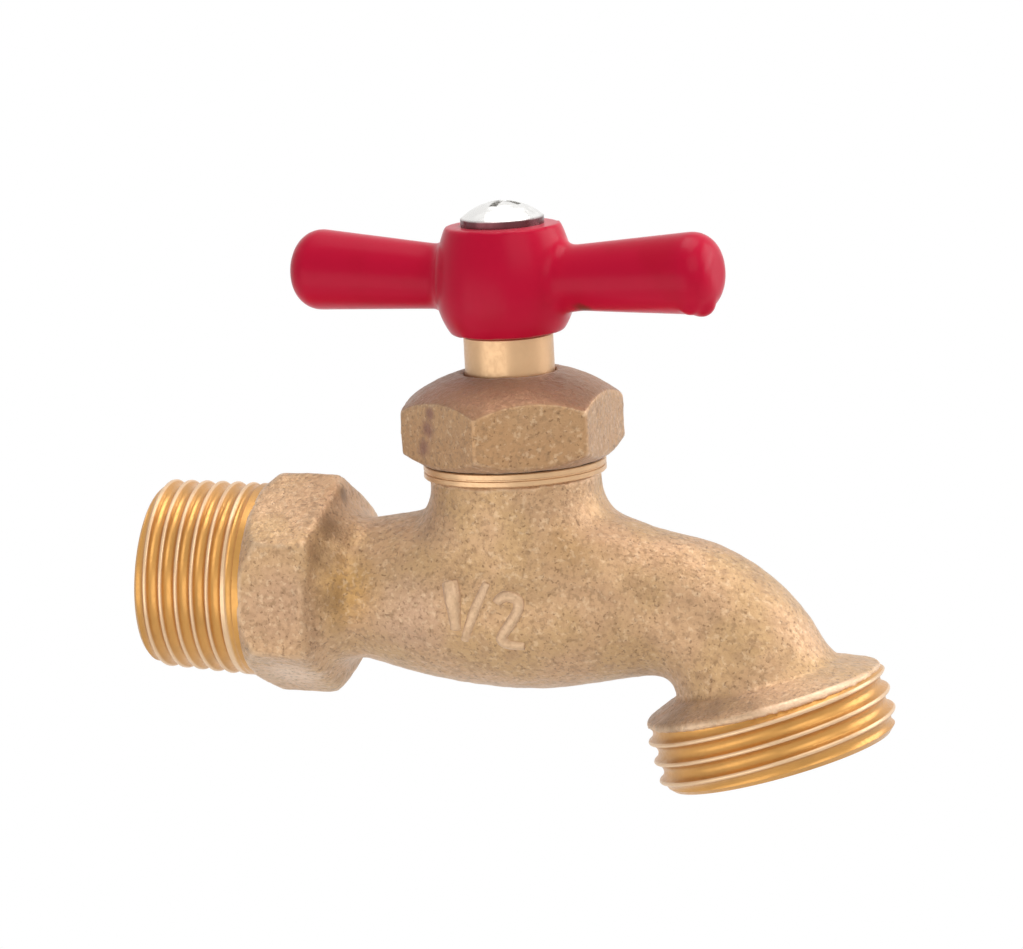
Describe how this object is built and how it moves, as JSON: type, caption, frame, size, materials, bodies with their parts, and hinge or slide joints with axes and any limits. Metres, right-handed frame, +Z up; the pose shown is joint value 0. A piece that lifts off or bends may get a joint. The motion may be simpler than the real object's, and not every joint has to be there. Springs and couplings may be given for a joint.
{
  "type": "hose tap",
  "caption": "Wall-mounted cast brass hose tap with a male pipe inlet, a spout ending in a male hose thread, a packing nut and a two-arm red handle on a rising stem.",
  "frame": {"origin": "on the inlet axis, in the plane where the pipe thread meets the wrench hex", "axes": "+X along the inlet axis away from the wall, +Z up; the stem leans back from +Z towards the wall"},
  "size_m": [0.0838, 0.0268, 0.0633],
  "materials": {
    "cast_brass": "sand-cast, matte",
    "nut_brass": "sand-cast, matte",
    "turned_brass": "turned, satin",
    "enamel": "gloss red enamel",
    "plating": "bright nickel plate",
    "packing": "graphited cord, pressed",
    "rubber": "matte"
  },
  "bodies": {
    "valve_body": {"body": "cast_brass", "packing_nut": "nut_brass", "packing_washer": "turned_brass", "packing_ring": "packing"},
    "seat_washer": {"seat_washer": "rubber"},
    "stem": {"stem": "turned_brass", "washer_screw": "turned_brass", "handle": "enamel", "handle_screw": "plating"}
  },
  "joints": [
    {"name": "stem_lift", "type": "slide", "parent": "valve_body", "child": "seat_washer", "axis": [-0.0698, 0, 0.9976], "range_m": [0, 0.0049]},
    {"name": "handle_turn", "type": "hinge", "parent": "seat_washer", "child": "stem", "pos_m": [0.0296, 0, 0], "axis": [-0.0698, 0, 0.9976], "range_deg": [0, 810]}
  ],
  "couplings": [
    {"joint": "stem_lift", "follows": "handle_turn", "m_per_rad": 0.0003465}
  ]
}
